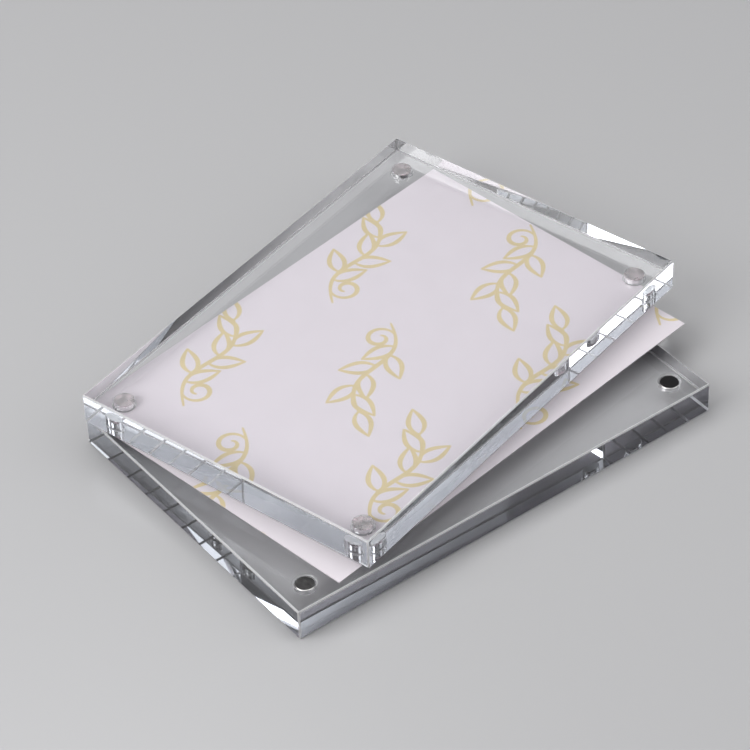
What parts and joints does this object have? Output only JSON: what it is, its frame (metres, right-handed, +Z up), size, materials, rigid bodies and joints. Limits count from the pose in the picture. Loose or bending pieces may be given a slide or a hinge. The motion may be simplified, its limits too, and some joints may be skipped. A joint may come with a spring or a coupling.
{
  "type": "acrylic magnetic photo frame",
  "caption": "Thick clear acrylic blocks joined by disc magnets at their corners, holding a photo card between them, shown fanned open about one corner.",
  "frame": {"origin": "centre of the back block's outer face, the face that the frame lies on", "axes": "+X along the long side of the back block, +Y along its short side towards the frame's top edge, +Z up through the stack, from the back block to the front block"},
  "size_m": [0.1719, 0.1412, 0.0214],
  "materials": {
    "acrylic": "polished",
    "nickel": "gloss",
    "adhesive": "satin",
    "card": "satin"
  },
  "bodies": {
    "back": {"back_block": "acrylic", "back_magnet_top_left": "nickel", "back_magnet_top_right": "nickel", "back_magnet_bottom_left": "nickel", "back_magnet_bottom_right": "nickel", "back_glue_top_left": "adhesive", "back_glue_top_right": "adhesive", "back_glue_bottom_left": "adhesive", "back_glue_bottom_right": "adhesive"},
    "card": {"photo_card": "card"},
    "corner_magnet": {"front_magnet_top_left": "nickel", "front_glue_top_left": "adhesive"},
    "front": {"front_block": "acrylic", "front_magnet_top_right": "nickel", "front_magnet_bottom_left": "nickel", "front_magnet_bottom_right": "nickel", "front_glue_top_right": "adhesive", "front_glue_bottom_left": "adhesive", "front_glue_bottom_right": "adhesive"}
  },
  "joints": [
    {"name": "front_lift", "type": "slide", "parent": "back", "child": "corner_magnet", "axis": [0, 0, 1], "range_m": [0, 0.04]},
    {"name": "front_swivel", "type": "hinge", "parent": "corner_magnet", "child": "front", "pos_m": [-0.0665, 0.044, 0.01085], "axis": [0, 0, 1], "range_deg": [-15, 75]},
    {"name": "card_swing", "type": "hinge", "parent": "back", "child": "card", "pos_m": [-0.0665, 0.044, 0.01055], "axis": [0, 0, 1], "range_deg": [-8.9, 81.1]}
  ]
}
